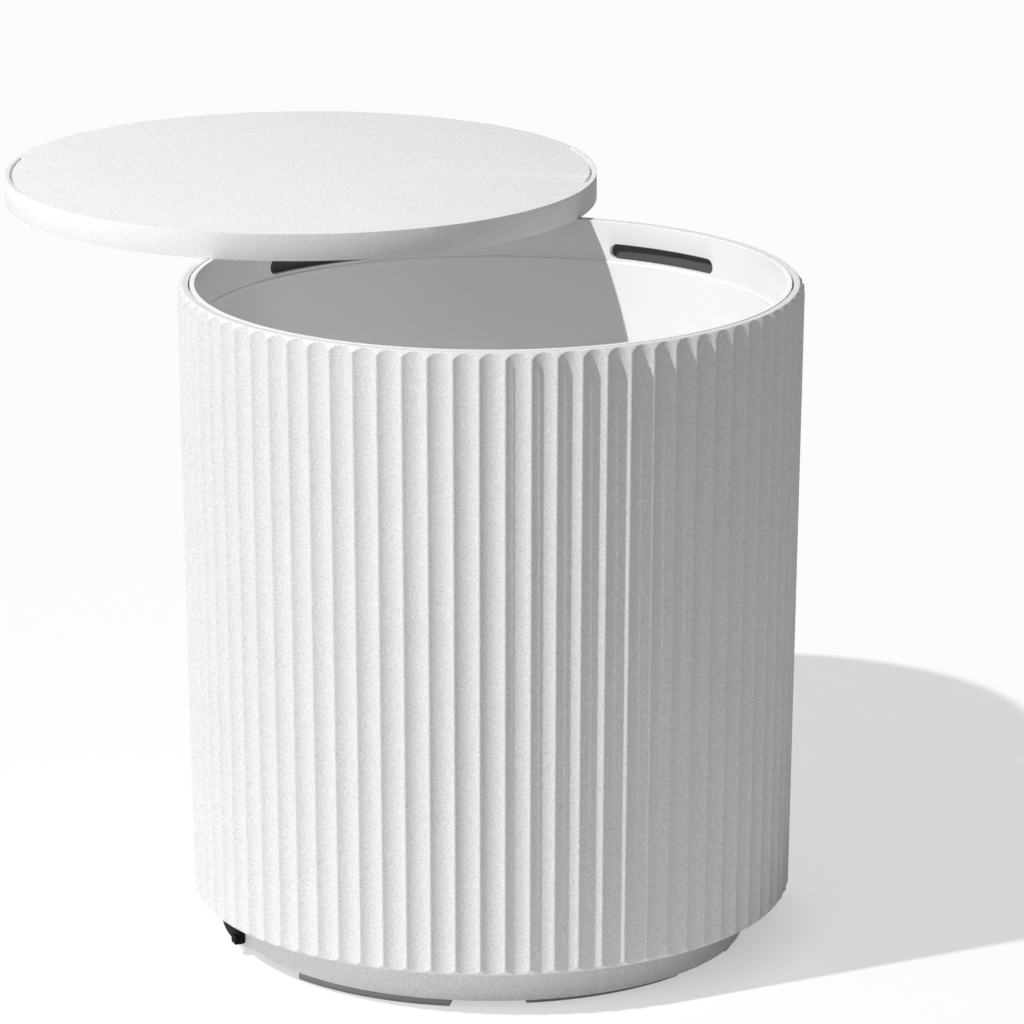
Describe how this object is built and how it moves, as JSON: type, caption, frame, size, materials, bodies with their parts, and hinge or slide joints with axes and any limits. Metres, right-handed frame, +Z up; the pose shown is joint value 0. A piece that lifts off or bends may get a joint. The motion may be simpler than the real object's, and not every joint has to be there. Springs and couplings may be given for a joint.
{
  "type": "ice bucket coffee table",
  "caption": "Fluted drum coffee table with a lift-out ice bucket, a loose round top drawn half off and a drain with a black cap at the foot.",
  "frame": {"origin": "centre of the flat underside of the round base, which lies 4.9 mm above the floor on its rubber pads", "axes": "+Z up along the drum's axis, -Y towards the front of the picture, +X to its right"},
  "size_m": [0.6059, 0.7485, 0.5164],
  "materials": {
    "stone_composite": "matte, finely speckled",
    "bucket_plastic": "smooth satin",
    "pad_rubber": "matte grey",
    "seal_rubber": "matte",
    "cap_rubber": "satin",
    "pipe_plastic": "satin",
    "fitting_plastic": "satin",
    "steel": "bright"
  },
  "bodies": {
    "stand": {"fluted_shell": "stone_composite", "round_base": "stone_composite", "bucket_rest_ring": "seal_rubber", "outlet_gasket": "seal_rubber", "outlet_fitting": "fitting_plastic", "drain_cup": "pipe_plastic", "drain_pipe": "pipe_plastic", "foot_pad_1": "pad_rubber", "foot_pad_2": "pad_rubber", "foot_pad_3": "pad_rubber", "foot_pad_4": "pad_rubber", "foot_pad_5": "pad_rubber", "foot_pad_6": "pad_rubber", "foot_pad_screw_1": "steel", "foot_pad_screw_2": "steel", "foot_pad_screw_3": "steel", "foot_pad_screw_4": "steel", "foot_pad_screw_5": "steel", "foot_pad_screw_6": "steel", "foot_pad_screw_7": "steel", "foot_pad_screw_8": "steel", "foot_pad_screw_9": "steel", "foot_pad_screw_10": "steel", "foot_pad_screw_11": "steel", "foot_pad_screw_12": "steel", "drum_screw_1": "steel", "drum_screw_2": "steel", "drum_screw_3": "steel", "drum_screw_4": "steel", "drum_screw_5": "steel", "drum_screw_6": "steel", "pipe_clip_1": "steel", "pipe_clip_2": "steel"},
    "bucket": {"ice_bucket": "bucket_plastic", "drain_gasket": "seal_rubber", "drain_flange": "bucket_plastic", "drain_nut": "bucket_plastic"},
    "stopper": {"drain_stopper": "seal_rubber"},
    "cap": {"drain_cap": "cap_rubber"},
    "top": {"table_top": "stone_composite"}
  },
  "joints": [
    {"name": "bucket_lift", "type": "slide", "parent": "stand", "child": "bucket", "axis": [0, 0, 1], "range_m": [0, 0.46]},
    {"name": "top_draw", "type": "slide", "parent": "bucket", "child": "top", "axis": [0.4531, -0.8915, 0], "range_m": [-0.14, 0.3255]},
    {"name": "stopper_pull", "type": "slide", "parent": "bucket", "child": "stopper", "axis": [0, 0, 1], "range_m": [0, 0.03]},
    {"name": "cap_pull", "type": "slide", "parent": "stand", "child": "cap", "axis": [-0.9816, -0.1908, 0], "range_m": [0, 0.03]}
  ]
}
